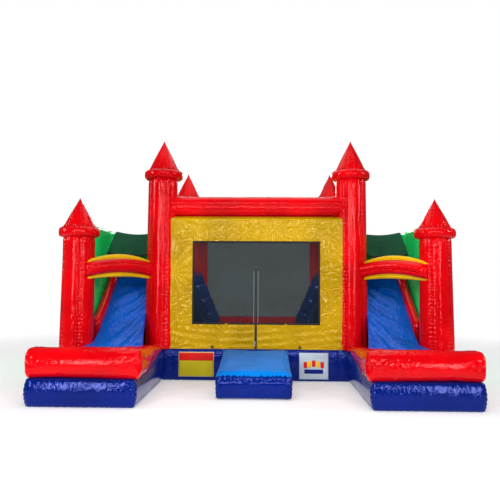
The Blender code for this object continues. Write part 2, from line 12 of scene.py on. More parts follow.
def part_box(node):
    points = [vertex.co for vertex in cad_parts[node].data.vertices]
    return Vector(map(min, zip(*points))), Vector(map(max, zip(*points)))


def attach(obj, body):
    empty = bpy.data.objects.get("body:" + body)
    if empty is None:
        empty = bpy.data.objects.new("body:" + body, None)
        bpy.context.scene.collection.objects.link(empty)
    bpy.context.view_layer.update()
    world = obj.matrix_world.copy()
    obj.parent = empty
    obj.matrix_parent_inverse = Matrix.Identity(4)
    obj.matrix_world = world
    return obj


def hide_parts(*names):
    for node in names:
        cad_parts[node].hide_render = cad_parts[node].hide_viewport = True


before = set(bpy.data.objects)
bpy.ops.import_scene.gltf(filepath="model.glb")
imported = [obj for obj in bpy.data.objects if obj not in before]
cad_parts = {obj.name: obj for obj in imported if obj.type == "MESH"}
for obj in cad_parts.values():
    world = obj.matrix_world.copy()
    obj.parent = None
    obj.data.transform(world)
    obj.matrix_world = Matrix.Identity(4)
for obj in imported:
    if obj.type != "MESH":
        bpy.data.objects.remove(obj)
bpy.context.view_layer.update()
ROOT = "inflatable"
SIDES = ((-1, "left"), (1, "right"))
TAU = 2 * math.pi


# ---------------------------------------------------------------- places read from the frame
def corner(node):
    low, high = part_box(node)
    return np.array(low), np.array(high)


def middle(node):
    low, high = corner(node)
    return (low + high) / 2


TOWER = {name: middle("tower_" + name) for name in
         ("front_left", "front_right", "rear_left", "rear_right", "slide_left", "slide_right")}
Y_TOWER = TOWER["front_left"][1]
TOWER_X = TOWER["front_right"][0]
SMALL_X, SMALL_Y = TOWER["slide_right"][0], TOWER["slide_right"][1]
BASE_LOW, BASE_HIGH = corner("base_chamber")
SLIDE_LOW, SLIDE_HIGH = corner("slide_base_right")
WALL_LOW, WALL_HIGH = corner("front_wall")
WINDOW_LOW, WINDOW_HIGH = corner("window_mesh")
FACE = WALL_LOW[1]
DOOR_TOP = 2.055              # where the zip and both fold lines meet
DOOR_X = 0.75                 # a fold line's foot
TIE_X = DOOR_X + 0.023        # just clear of the folded flap
ZIP_GAP = 0.003               # half the gap between the flaps
BINDING = 0.034               # width of the tape round the window
BINDING_STOP = 0.022          # how far the tapes end from the fold lines
ARCH_FOOT = 1.930             # height of the arch rolls' lower ends
CLIMB_HEAD_X = 1.31           # where a climb ramp levels out
PLATFORM_Z = corner("slide_lane_right")[1][2]
LANE_TOP = [(-2.19, 0.53), (-1.50, 0.55), (-1.05, 0.67), (-0.62, 0.87), (-0.23, 1.12),
            (0.66, 1.78), (0.80, 1.87), (0.95, 1.93), (1.12, PLATFORM_Z), (4.0, PLATFORM_Z)]


# ---------------------------------------------------------------- camera, light and floor
EYE = (0.156, Y_TOWER - 10.61, 1.788)
YAW, PITCH, ROLL = math.radians(1.47), math.radians(2.84), math.radians(0.35)


def make_camera():
    """The photograph's point of view: eye level, a little right of the middle."""
    data = bpy.data.cameras.new("camera")
    data.lens = 42.05
    data.sensor_width = 36
    data.clip_end = 200
    camera = bpy.data.objects.new("camera", data)
    bpy.context.scene.collection.objects.link(camera)
    turn = (Matrix.Rotation(YAW, 4, "Z") @ Matrix.Rotation(math.pi / 2 + PITCH, 4, "X")
            @ Matrix.Rotation(ROLL, 4, "Z"))
    camera.matrix_world = Matrix.Translation(EYE) @ turn
    bpy.context.scene.camera = camera


def make_light(name, place, target, size, power):
    data = bpy.data.lights.new(name, "AREA")
    data.shape = "RECTANGLE"
    data.size, data.size_y = size
    data.energy = power
    lamp = bpy.data.objects.new(name, data)
    bpy.context.scene.collection.objects.link(lamp)
    lamp.location = place
    aim = Vector(target) - Vector(place)
    lamp.rotation_euler = aim.to_track_quat("-Z", "Y").to_euler()


def make_world():
    """White behind the object for the camera, and a dimmer grey surround as light."""
    world = bpy.data.worlds.new("world")
    bpy.context.scene.world = world
    world.use_nodes = True
    tree = world.node_tree
    tree.nodes["Background"].inputs["Color"].default_value = (1, 1, 1, 1)
    path = tree.nodes.new("ShaderNodeLightPath").outputs["Is Camera Ray"]
    tree.links.new(ramp(tree, path, 0.12, 1.0), tree.nodes["Background"].inputs["Strength"])


def make_studio():
    make_world()
    target = (0, -1, 1.4)
    make_light("top", (0, 1, 9), (0, 0, 0), (9, 9), 330)
    make_light("rear", (0, 11, 6), (0, 1, 1.5), (8, 2), 300)
    make_light("room", (0, 1, 2.85), (0, 1, 0), (2.4, 2.4), 70)
    make_light("front_panel", (0, -13.5, 4.6), target, (7, 0.7), 330)
    make_light("high_panel", (0, -10.0, 7.0), target, (7, 0.4), 220)
    make_light("window_left", (-5.5, -13.0, 3.6), (-1, -1, 2.0), (1.3, 5.0), 430)
    make_light("window_right", (6.0, -13.0, 3.6), (1, -1, 2.0), (1.1, 5.0), 360)
    for side in (-1, 1):
        make_light("side_window_%d" % side, (side * 11.0, -4.0, 6.5), (side * -2, -0.5, 2.6), (1.2, 4.5), 320)
    make_floor()


def make_floor():
    """Pale ground that fades into the white surround some way off."""
    shape = bmesh.new()
    bmesh.ops.create_grid(shape, x_segments=1, y_segments=1, size=60)
    mesh = bpy.data.meshes.new("floor")
    shape.to_mesh(mesh)
    shape.free()
    floor = bpy.data.objects.new("floor", mesh)
    floor.location.z = -0.004
    bpy.context.scene.collection.objects.link(floor)
    white = (0.92, 0.92, 0.92)
    material, tree, shader, place = new_finish("floor", Base_Color=white, Roughness=0.9,
                                               Specular_IOR_Level=0.1, Emission_Color=(1, 1, 1),
                                               Emission_Strength=0.22)
    distance = node(tree, "ShaderNodeVectorMath", {0: place}, operation="LENGTH").outputs["Value"]
    feed(tree, ramp(tree, distance, 1, 0, 5, 10), shader.inputs["Alpha"])
    mesh.materials.append(material)
    bpy.context.scene.view_settings.view_transform = "Standard"


# ---------------------------------------------------------------- materials
def feed(tree, value, socket):
    """Link a socket, or set its value; three numbers are a colour."""
    if isinstance(value, bpy.types.NodeSocket):
        tree.links.new(value, socket)
    else:
        socket.default_value = (*value, 1) if isinstance(value, tuple) and len(value) == 3 else value


def node(tree, kind, inputs=None, **settings):
    made = tree.nodes.new(kind)
    for key, value in settings.items():
        setattr(made, key, value)
    for key, value in (inputs or {}).items():
        feed(tree, value, made.inputs[key])
    return made


def math_node(tree, operation, *values):
    return node(tree, "ShaderNodeMath", dict(enumerate(values)), operation=operation).outputs[0]


def noise(tree, place, scale, detail, roughness=0.5, distortion=0.0):
    return node(tree, "ShaderNodeTexNoise", {"Vector": place, "Scale": scale, "Detail": detail,
                                             "Roughness": roughness, "Distortion": distortion}).outputs["Fac"]


def ramp(tree, source, low, high, low_at=0.0, high_at=1.0):
    """Low at low_at, high at high_at, and straight between them."""
    return node(tree, "ShaderNodeMapRange", {"Value": source, "From Min": low_at, "From Max": high_at,
                                             "To Min": low, "To Max": high}).outputs["Result"]


def mix_color(tree, factor, first, second):
    return node(tree, "ShaderNodeMix", {0: factor, 6: first, 7: second}, data_type="RGBA").outputs[2]


def new_finish(name, **values):
    """A material of this script's own, apart from the CAD's of the same name, with its tree and place."""
    material = bpy.data.materials.new(name + "_finish")
    material.use_nodes = True
    tree = material.node_tree
    shader = tree.nodes["Principled BSDF"]
    for key, value in values.items():
        feed(tree, value, shader.inputs[key.replace("_", " ")])
    return material, tree, shader, node(tree, "ShaderNodeTexCoord").outputs["Object"]


def bumped(tree, shader, height, strength, distance):
    bump = node(tree, "ShaderNodeBump", {"Strength": strength, "Distance": distance, "Height": height})
    tree.links.new(bump.outputs["Normal"], shader.inputs["Normal"])


PANEL = {"roughness": 0.3, "crinkle": 0.25}
VINYL = {
    "red_vinyl": {"color": (0.790, 0.0003, 0.0040)},
    "base_blue": {"color": (0.0003, 0.0120, 0.1800)},
    "step_blue": {"color": (0.0003, 0.2000, 0.7000), "roughness": 0.35, "shine": 0.08},
    "lane_blue": {"color": (0.0003, 0.1050, 0.6400), "crinkle": 0.7, "shine": 0.30},
    "yellow_vinyl": {"color": (0.5700, 0.3400, 0.0003), "crinkle": 1.1},
    "arch_yellow": {"color": (0.9000, 0.5600, 0.0010), **PANEL},
    "light_green": {"color": (0.0120, 1.0000, 0.1800), "shine": 0.10},
    "dark_green": {"color": (0.0006, 0.0700, 0.0260), "roughness": 0.40, "scuffs": 0.01, "shine": 0.08},
    "sign_red": {"color": (0.700, 0.010, 0.006), **PANEL},
    "sign_olive": {"color": (0.560, 0.480, 0.010), **PANEL},
    "sign_cream": {"color": (0.800, 0.700, 0.300), **PANEL},
    "label_pale": {"color": (0.500, 0.600, 0.680), **PANEL},
}
DUST = (0.75, 0.75, 0.75)


@cache
def vinyl(name):
    return make_vinyl(name, **VINYL[name])


def make_vinyl(name, color, roughness=0.09, crinkle=0.40, scuffs=0.03, shine=0.50):
    """Coated fabric: woven scrim showing through, sharp crinkles, scuffs, and darker stitched seams."""
    tint = tuple(0.28 + 0.72 * channel / max(color) for channel in color)
    material, tree, shader, place = new_finish(name, Specular_IOR_Level=shine, Specular_Tint=tint)
    broad = noise(tree, place, 1.3, 4.0)
    fine = noise(tree, place, 16.0, 6.0, 0.6)
    dust = noise(tree, place, 5.0, 8.0, 0.72)
    folds = noise(tree, place, 6.0, 2.0, distortion=1.2)
    scrim = node(tree, "ShaderNodeTexVoronoi", {"Vector": place, "Scale": 420.0}, distance="CHEBYCHEV")

    seam = node(tree, "ShaderNodeAttribute", attribute_name="seam").outputs["Fac"]
    darker = tuple(channel * 0.72 for channel in color)
    lighter = tuple(min(channel * 1.06, 1) for channel in color)
    tone = mix_color(tree, ramp(tree, broad, 0, 1, 0.35, 0.65), darker, lighter)
    worn = mix_color(tree, ramp(tree, dust, 0, scuffs, 0.62, 0.80), tone, DUST)
    stitched = mix_color(tree, ramp(tree, seam, 0, 0.45), worn, tuple(channel * 0.35 for channel in color))
    feed(tree, stitched, shader.inputs["Base Color"])
    feed(tree, ramp(tree, fine, roughness - 0.05, roughness + 0.10, 0.3, 0.7), shader.inputs["Roughness"])

    crease = math_node(tree, "ABSOLUTE", math_node(tree, "SUBTRACT", folds, 0.5))
    small = math_node(tree, "MULTIPLY", fine, 0.0040 * crinkle)
    heights = math_node(tree, "MULTIPLY_ADD", crease, 0.034 * crinkle, small)
    weave = math_node(tree, "MULTIPLY_ADD", scrim.outputs["Distance"], 0.00012, heights)
    bumped(tree, shader, weave, 0.8, 1.0)
    return material


@cache
def netting(name="netting", open_cover=0.46, strand_cover=0.80):
    """Fine woven net: dark strands with small open squares, seen through."""
    material, tree, shader, place = new_finish(name, Roughness=0.60, Specular_IOR_Level=0.08)
    across, up = (node(tree, "ShaderNodeTexWave", {"Vector": place, "Scale": 70.0}, wave_type="BANDS",
                       bands_direction=direction).outputs["Fac"] for direction in ("X", "Z"))
    strands = math_node(tree, "MAXIMUM", across, up)
    haze = ramp(tree, noise(tree, place, 1.2, 3.0), 0, 1, 0.3, 0.7)
    feed(tree, ramp(tree, strands, open_cover, strand_cover, 0.45, 0.95), shader.inputs["Alpha"])
    color = mix_color(tree, haze, (0.004, 0.010, 0.012), (0.012, 0.030, 0.034))
    feed(tree, color, shader.inputs["Base Color"])
    bumped(tree, shader, strands, 0.5, 0.002)
    return material


@cache
def webbing(name, color, ribs=260.0, roughness=0.8):
    """Ribbed woven tape."""
    material, tree, shader, place = new_finish(name)
    wave = node(tree, "ShaderNodeTexWave", {"Vector": place, "Scale": ribs}, bands_direction="DIAGONAL")
    grain = noise(tree, place, 90.0, 4.0)
    tone = mix_color(tree, wave.outputs["Fac"], tuple(channel * 0.6 for channel in color), color)
    feed(tree, tone, shader.inputs["Base Color"])
    feed(tree, ramp(tree, grain, roughness - 0.1, roughness + 0.1), shader.inputs["Roughness"])
    bumped(tree, shader, wave.outputs["Fac"], 0.4, 0.001)
    return material


def plated_steel():
    """Zinc plate: a grainy bright metal."""
    material, tree, shader, place = new_finish("plated_steel", Metallic=1.0)
    grain = noise(tree, place, 180.0, 5.0)
    feed(tree, mix_color(tree, grain, (0.42, 0.42, 0.43), (0.68, 0.68, 0.70)), shader.inputs["Base Color"])
    feed(tree, ramp(tree, grain, 0.2, 0.42), shader.inputs["Roughness"])
    return material


def black_tape():
    return webbing("black_tape", (0.010, 0.010, 0.012))


# ---------------------------------------------------------------- mesh tools
def smoothstep(x):
    x = np.clip(x, 0, 1)
    return x * x * (3 - 2 * x)


def waves(a, b, seed):
    """Soft repeatable unevenness, about -1 to 1, from a few crossing waves."""
    total = np.zeros(np.broadcast(a, b).shape)
    draw = np.random.default_rng(seed)
    for _ in range(5):
        turn, pitch, shift = draw.uniform(0, TAU), draw.uniform(0.6, 1.6), draw.uniform(0, TAU)
        total = total + np.sin(pitch * (a * math.cos(turn) + b * math.sin(turn)) + shift)
    return total / 3


def surface(x, y, z):
    """Points from their three coordinates, spread out to one grid."""
    return np.stack(np.broadcast_arrays(x, y, z), axis=-1)


class Shell:
    """Collects grids of points into one mesh, with a seam value on each point."""

    def __init__(self):
        self.points, self.seams, self.faces = [], [], []
        self.count = 0

    def grid(self, points, seams=0.0, wrap=False, flip=False):
        rows, columns = points.shape[:2]
        index = self.count + np.arange(rows * columns).reshape(rows, columns)
        self.points.append(points.reshape(-1, 3))
        self.seams.append(np.broadcast_to(seams, (rows, columns)).reshape(-1))
        across = np.concatenate([index, index[:, :1]], axis=1) if wrap else index
        quads = np.stack([across[:-1, :-1], across[:-1, 1:], across[1:, 1:], across[1:, :-1]], axis=-1)
        quads = quads.reshape(-1, 4)
        self.faces += (quads[:, ::-1] if flip else quads).tolist()
        self.count += rows * columns
        return index

    def fan(self, ring, centre, flip=False):
        """Close a ring of point numbers with a point in its middle."""
        self.points.append(np.array(centre, float).reshape(1, 3))
        self.seams.append(np.zeros(1))
        top = self.count
        self.count += 1
        ring = list(ring)
        for first, second in zip(ring, ring[1:] + ring[:1]):
            self.faces.append([second, first, top] if flip else [first, second, top])

    def build(self, name, look, body=ROOT, replaces=(), weld=0.0):
        mesh = bpy.data.meshes.new(name)
        mesh.from_pydata(np.concatenate(self.points).tolist(), [], self.faces)
        seam = mesh.attributes.new("seam", "FLOAT", "POINT")
        seam.data.foreach_set("value", np.clip(np.concatenate(self.seams), 0, 1).astype(np.float32))
        shape = bmesh.new()
        shape.from_mesh(mesh)
        if weld:
            bmesh.ops.remove_doubles(shape, verts=shape.verts[:], dist=weld)
        bmesh.ops.recalc_face_normals(shape, faces=shape.faces[:])
        shape.to_mesh(mesh)
        shape.free()
        return piece(name, mesh, look, body, replaces)


def piece(name, mesh, look, body=ROOT, replaces=()):
    """A visible piece. Its look is a material, or a vinyl's name."""
    mesh.materials.clear()
    mesh.materials.append(vinyl(look) if isinstance(look, str) else look)
    mesh.shade_smooth()
    made = bpy.data.objects.new(name, mesh)
    bpy.context.scene.collection.objects.link(made)
    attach(made, body)
    if replaces:
        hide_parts(*replaces)
    return made


def pucker(distance, along, pitch=0.058, width=0.048, height=0.0060, groove=0.013):
    """Gathers beside a stitched line: a groove on the line and small ripples across it."""
    pull = np.exp(-(distance / (width * 0.33)) ** 2)
    ripple = np.exp(-(distance / width) ** 2)
    wobble = np.sin(TAU * along / pitch + 2.2 * np.sin(along * 5.3) + 1.4 * np.sin(along * 13.7))
    return -groove * pull + height * ripple * wobble, np.exp(-(distance / 0.007) ** 2)


def gore_tube(name, start, end, radius, look, replaces, gores=5, turn=0.0, bulge=0.014,
              rise=0.0, end_pull=0.012, taper=None, step=0.018, around=108):
    """A round air tube sewn from gores, straight or with a rise in its middle."""
    start, end = np.array(start, float), np.array(end, float)
    length = np.linalg.norm(end - start)
    rows = max(int(length / step), 8)
    share = np.linspace(0, 1, rows + 1)[:, None]
    angle = np.linspace(0, TAU, around, endpoint=False)[None, :]
    forward = (end - start) / length
    side = np.cross(forward, (0, 0, 1)) if abs(forward[2]) < 0.9 else np.array([0.0, -1.0, 0.0])
    side = side / np.linalg.norm(side)
    up = np.cross(side, forward)
    part = (angle + turn) * gores / TAU
    nearest = np.abs(part - np.round(part)) * TAU / gores * radius
    along = share * length
    bend, seam = pucker(nearest, along + 0.31 * np.round(part))
    full = bulge * np.abs(np.sin(part * math.pi)) - bulge
    ends = np.minimum(along, length - along)
    drawn = -end_pull * np.exp(-(ends / 0.05) ** 2)
    gathers = 0.004 * np.sin(angle * 26) * np.exp(-(ends / 0.09) ** 2)
    reach = radius + full + bend + drawn + gathers + 0.002 * waves(angle * 3, along * 4, len(name))
    if taper is not None:
        reach = reach * taper(share)
    offset = reach[..., None] * (np.cos(angle)[..., None] * side + np.sin(angle)[..., None] * up)
    lift = rise * (1 - (2 * share - 1) ** 2)
    line = start + share[..., None] * (end - start) + lift[..., None] * np.array([0, 0, 1.0])
    shell = Shell()
    index = shell.grid(line + offset, seam, wrap=True)
    shell.fan(index[0], line[0, 0], flip=True)
    shell.fan(index[-1], line[-1, 0])
    return shell.build(name, look, replaces=replaces)


def turret(name, centre, low, high, reach):
    """Puckered collar roll with a pointed cone sewn above it, from six gores."""
    cone_radius = reach * 0.775
    tube = reach - cone_radius * 0.97
    height = 0.168
    profile = [(cone_radius * 0.80, low - 0.03, 0)]
    for share in np.linspace(0, 1, 26):
        turn = math.radians(-88 + 176 * share)
        profile.append((cone_radius * 0.97 + tube * math.cos(turn) ** 0.8,
                        low + height / 2 + height / 2 * math.sin(turn), 1))
    foot = low + height
    for share in np.linspace(0.02, 1, 44):
        swell = 0.012 * math.sin(math.pi * min(share * 1.1, 1))
        profile.append((max((cone_radius + swell) * (1 - share), 0.003), foot + share * (high - foot), 2))
    profile = np.array(profile)
    angle = np.linspace(0, TAU, 144, endpoint=False)[None, :]
    radius, height_at, kind = profile[:, 0:1], profile[:, 1:2], profile[:, 2:3]
    from_low, from_foot = np.abs(height_at - low), np.abs(height_at - foot)
    gather = np.exp(-(np.minimum(from_low, from_foot) / 0.045) ** 2)
    folds = np.sin(angle * 34 + 1.5 * np.sin(angle * 7)) * 0.011 + np.sin(angle * 13 + 1) * 0.005
    part = angle * 6 / TAU
    near = np.abs(part - np.round(part)) * TAU / 6 * radius
    bend, seam = pucker(near, height_at, pitch=0.05, width=0.03, height=0.003, groove=0.006)
    on_cone = (kind == 2).astype(float)
    reach_at = radius + gather * folds * np.where(kind == 0, 0.2, 1)
    reach_at = np.maximum(reach_at + on_cone * bend * smoothstep(radius / 0.1), 0.002)
    points = surface(centre[0] + reach_at * np.cos(angle), centre[1] + reach_at * np.sin(angle), height_at)
    shell = Shell()
    ring_seam = np.exp(-(from_foot / 0.010) ** 2)
    index = shell.grid(points, np.maximum(seam * on_cone, ring_seam), wrap=True)
    shell.fan(index[0], (centre[0], centre[1], low - 0.03), flip=True)
    shell.fan(index[-1], (centre[0], centre[1], high))
    return shell.build("turret_skin_" + name, "red_vinyl", replaces=["turret_" + name])


def evenly(first, last, step):
    """Points about a step apart between two ends, without the ends themselves."""
    count = max(int(np.linalg.norm(last - first) / step), 1)
    return [first + share * (last - first) for share in np.linspace(0, 1, count, endpoint=False)[1:]]


def outline_walk(corners, radius, step=0.03):
    """Points, outward normals and distances round a closed outline with rounded corners."""
    corners = [np.array(c, float) for c in corners]
    points = []
    count = len(corners)
    for i, here in enumerate(corners):
        before, after = corners[i - 1], corners[(i + 1) % count]
        back = (before - here) / np.linalg.norm(before - here)
        ahead = (after - here) / np.linalg.norm(after - here)
        first, last = here + back * radius, here + ahead * radius
        if points:
            points += evenly(points[-1], first, step)
        for share in np.linspace(0, 1, 7):
            points.append((1 - share) ** 2 * first + 2 * share * (1 - share) * here + share ** 2 * last)
    points = np.array(points + evenly(points[-1], points[0], step))
    tangent = np.roll(points, -1, axis=0) - np.roll(points, 1, axis=0)
    tangent /= np.linalg.norm(tangent, axis=1)[:, None]
    normal = np.stack([tangent[:, 1], -tangent[:, 0]], axis=1)
    along = np.concatenate([[0], np.cumsum(np.linalg.norm(np.diff(points, axis=0), axis=1))])
    return points, normal, along


def chamber(name, corners, top, look, replaces, radius=0.12, bulge=0.045, inset=0.035,
            verticals=(), roof=None, rows=26):
    """An air chamber with rounded, puckered sides; top gives its height at a place in plan."""
    plan, normal, along = outline_walk(corners, radius)
    share = np.linspace(0, 1, rows)[:, None]
    high = np.array([top(x, y) for x, y in plan])[None, :]
    swell = np.sin(math.pi * share) ** 0.55
    out = -inset + bulge * swell
    up = share * high
    for distance, phase in ((up, 0.0), (high - up, 0.4)):
        bend, _ = pucker(distance, along[None, :] + phase, pitch=0.09, width=0.06, height=0.006, groove=0.0)
        out = out + bend
    seam = np.exp(-((high - up) / 0.006) ** 2)
    for place in verticals:
        gap = np.linalg.norm(plan - np.array(place), axis=1)[None, :]
        bend, line = pucker(gap, up, pitch=0.06, width=0.05, height=0.006, groove=0.012)
        out = out + bend
        seam = np.maximum(seam, line)
    out = out + 0.003 * waves(along[None, :] * 5, up * 9, len(name))
    flat = plan[None] + normal[None] * out[..., None]
    points = np.concatenate([flat, up[..., None]], axis=2)
    shell = Shell()
    index = shell.grid(points, seam, wrap=True)
    centre = plan.mean(axis=0)
    shell.fan(index[0], (*centre, 0), flip=True)
    if roof is None:
        shell.fan(index[-1], (*centre, top(*centre)))
    else:
        inner = index[-1]
        ring = points[-1]
        for step_share in (0.25, 0.5, 0.75):
            new = ring.copy()
            new[:, :2] = ring[:, :2] + (centre - ring[:, :2]) * step_share * 0.1
            number = shell.grid(new[None], wrap=True)
            pair = np.concatenate([inner[None], number])
            across = np.concatenate([pair, pair[:, :1]], axis=1)
            shell.faces += np.stack([across[0, :-1], across[0, 1:], across[1, 1:], across[1, :-1]],
                                    axis=-1).tolist()
            inner = number[0]
        shell.fan(inner, (*centre, roof))
    return shell.build(name, look, replaces=replaces)


def wall_run(name, stations, low, high, near, far, look, replaces, crown=0.06, pitch=0.55,
             swell=0.03, step=0.03, axis="Y", body_rows=26):
    """A thick air wall along an axis: flat foot, rounded top, and a bulge between its tied lines."""
    start, end = stations
    line = np.linspace(start, end, max(int((end - start) / step), 4))
    half = abs(far - near) / 2
    centre = (near + far) / 2
    low_at = np.array([low(s) for s in line])[:, None]
    high_at = np.array([high(s) for s in line])[:, None]
    turn = np.linspace(0, math.pi, 15)[None, :]
    up_side = np.linspace(0, 1, body_rows)[None, :-1]
    body = high_at - crown
    columns_z = np.concatenate([low_at + up_side * (body - low_at), body + crown * np.sin(turn),
                                low_at + up_side[:, ::-1] * (body - low_at)], axis=1)
    across = np.concatenate([np.full(up_side.shape, 1.0), np.cos(turn), np.full(up_side.shape, -1.0)], axis=1)
    position = line[:, None]
    tie = np.abs(((position - start) / pitch) % 1 - 0.5) * 2
    near_tie = (1 - tie) * pitch / 2
    bend, seam = pucker(near_tie, columns_z, pitch=0.08, width=0.05, height=0.004, groove=0.012)
    end_gap = np.minimum(position - start, end - position)
    full = (swell * np.sqrt(np.clip(1 - (1 - 2 * np.abs(near_tie) / pitch) ** 2, 0, 1)) - swell + bend
            - 0.5 * half * (1 - np.sqrt(np.clip(1 - (1 - np.clip(end_gap / 0.06, 0, 1)) ** 2, 0, 1))))
    side = across * (half + full + 0.002 * waves(position * 4, columns_z * 4, len(name)))
    lift = columns_z + np.where(columns_z > body, full * 0.6, 0)
    points = surface(centre + side, position, lift) if axis == "Y" else surface(position, centre + side, lift)
    shell = Shell()
    index = shell.grid(points, seam)
    for row, flip in ((0, False), (-1, True)):
        ring = points[row]
        shell.fan(index[row], ring.mean(axis=0), flip=flip)
    foot = np.stack([points[:, 0], points[:, -1]], axis=1)
    shell.grid(foot)
    return shell.build(name, look, replaces=replaces, weld=0.0005)


CLOTH = {"quality": 4, "mass": 0.5, "tension_stiffness": 25, "compression_stiffness": 12,
         "shear_stiffness": 8, "bending_stiffness": 1.2, "use_pressure": True}


def inflate(mesh, voxel, smoothing, pressure, cap, frames=20):
    """Remesh a closed block, round it and blow it up a little with a cloth simulation."""
    made = bpy.data.objects.new("working", mesh)
    bpy.context.scene.collection.objects.link(made)
    remesh = made.modifiers.new("remesh", "REMESH")
    remesh.mode = "VOXEL"
    remesh.voxel_size = voxel
    rounding = made.modifiers.new("round", "SMOOTH")
    rounding.factor = 0.5
    rounding.iterations = smoothing
    freeze(made)
    rest = read_points(made.data)
    cloth = made.modifiers.new("cloth", "CLOTH")
    for key, value in CLOTH.items():
        setattr(cloth.settings, key, value)
    cloth.settings.uniform_pressure_force = pressure
    cloth.settings.effector_weights.gravity = 0
    cloth.point_cache.frame_start = 1
    cloth.point_cache.frame_end = frames
    scene = bpy.context.scene
    for number in range(1, frames + 1):
        scene.frame_set(number)
    freeze(made)
    scene.frame_set(1)
    blown = read_points(made.data)
    move = blown - rest
    size = np.linalg.norm(move, axis=1)
    blown = rest + move * np.minimum(1, cap / np.maximum(size, 1e-9))[:, None]
    write_points(made.data, blown)
    result = made.data
    bpy.data.objects.remove(made, do_unlink=True)
    return result


def freeze(made):
    graph = bpy.context.evaluated_depsgraph_get()
    result = bpy.data.meshes.new_from_object(made.evaluated_get(graph))
    made.modifiers.clear()
    made.data = result


def read_points(mesh):
    values = np.empty(len(mesh.vertices) * 3)
    mesh.vertices.foreach_get("co", values)
    return values.reshape(-1, 3)


def write_points(mesh, points):
    mesh.vertices.foreach_set("co", np.asarray(points, dtype=np.float32).reshape(-1))
    mesh.update()


def read_normals(mesh):
    values = np.empty(len(mesh.vertices) * 3)
    mesh.vertex_normals.foreach_get("vector", values)
    return values.reshape(-1, 3)


def sew(mesh, lines, height=0.006, groove=0.010, pitch=0.08, width=0.055):
    """Draw stitched lines into a mesh along straight stretches given by their two ends."""
    points, normals = read_points(mesh), read_normals(mesh)
    push = np.zeros(len(points))
    seams = np.zeros(len(points))
    for first, last in lines:
        first, last = np.array(first, float), np.array(last, float)
        run = last - first
        length = np.linalg.norm(run)
        share = np.clip((points - first) @ run / length ** 2, 0, 1)
        distance = np.linalg.norm(points - (first + share[:, None] * run), axis=1)
        bend, line = pucker(distance, share * length, pitch, width, height, groove)
        push += bend
        seams = np.maximum(seams, line)
    write_points(mesh, points + normals * push[:, None])
    attribute = mesh.attributes.new("seam", "FLOAT", "POINT")
    attribute.data.foreach_set("value", seams.astype(np.float32))


def block_mesh(outline, axis, low, high):
    """A closed prism from a flat outline."""
    shape = bmesh.new()
    ends = []
    for along in sorted((low, high)):
        ends.append([shape.verts.new({"X": (along, a, b), "Y": (a, along, b), "Z": (a, b, along)}[axis])
                     for a, b in outline])
    count = len(outline)
    shape.faces.new(ends[0][::-1])
    shape.faces.new(ends[1])
    for i in range(count):
        j = (i + 1) % count
        shape.faces.new((ends[0][i], ends[0][j], ends[1][j], ends[1][i]))
    bmesh.ops.recalc_face_normals(shape, faces=shape.faces[:])
    mesh = bpy.data.meshes.new("block")
    shape.to_mesh(mesh)
    shape.free()
    return mesh


# ---------------------------------------------------------------- the room
def make_towers():
    """Columns of five gores that widen a little towards their feet, each with its turret."""
    for name, centre in TOWER.items():
        low, high = corner("tower_" + name)
        radius = (high[0] - low[0]) / 2 + 0.008
        side = 1 if centre[0] > 0 else -1
        foot = (centre[0] + side * 0.012, centre[1], low[2] - 0.015)
        gore_tube("tower_skin_" + name, foot, (centre[0], centre[1], high[2] + 0.02), radius, "red_vinyl",
                  ["tower_" + name], turn=math.radians(22 if side < 0 else 40),
                  taper=lambda share: 1 + 0.085 * (1 - share) ** 1.6)
        low, high = corner("turret_" + name)
        turret(name, centre, low[2] + 0.010, high[2] + 0.012, (high[0] - low[0]) / 2 + 0.008)


def make_beams():
    for name in ("front", "rear", "left", "right"):
        low, high = corner("beam_" + name)
        centre = (low + high) / 2
        along = 0 if name in ("front", "rear") else 1
        start, end = centre.copy(), centre.copy()
        start[along] = low[along] - 0.02
        end[along] = high[along] + 0.02
        gore_tube("beam_skin_" + name, start, end, (high[2] - low[2]) / 2 + 0.008, "red_vinyl",
                  ["beam_" + name], turn=math.radians(-8), bulge=0.012)


def make_base():
    x, front, rear, top = BASE_HIGH[0], BASE_LOW[1], BASE_HIGH[1], BASE_HIGH[2]
    corners = [(-x, front), (x, front), (x, rear), (-x, rear)]
    chamber("base_skin", corners, lambda a, b: top - 0.004, "base_blue", ["base_chamber"],
            bulge=0.050, inset=0.042, verticals=[(-x + 0.5, front), (x - 0.5, front), (-x + 0.5, rear),
                                                 (x - 0.5, rear)], roof=top - 0.012)
    make_bounce_floor(x - 0.06, front + 0.09, rear - 0.06, top)


def make_bounce_floor(x, front, rear, top):
    """The jumping surface: long rolls side by side, tied down along each line between them."""
    across = np.linspace(-x, x, 240)[None, :]
    deep = np.linspace(front, rear, 160)[:, None]
    roll = 0.40
    tie = np.abs((across / roll) % 1 - 0.5) * 2
    distance = (1 - tie) * roll / 2
    bend, seam = pucker(distance, deep, pitch=0.10, width=0.05, height=0.002, groove=0.006)
    height = top - 0.006 + 0.005 * np.sqrt(np.clip(1 - (1 - tie) ** 2, 0, 1)) + 0.4 * bend
    shell = Shell()
    shell.grid(surface(across, deep, height), seam)
    floor = shell.build("bounce_floor", "base_blue")


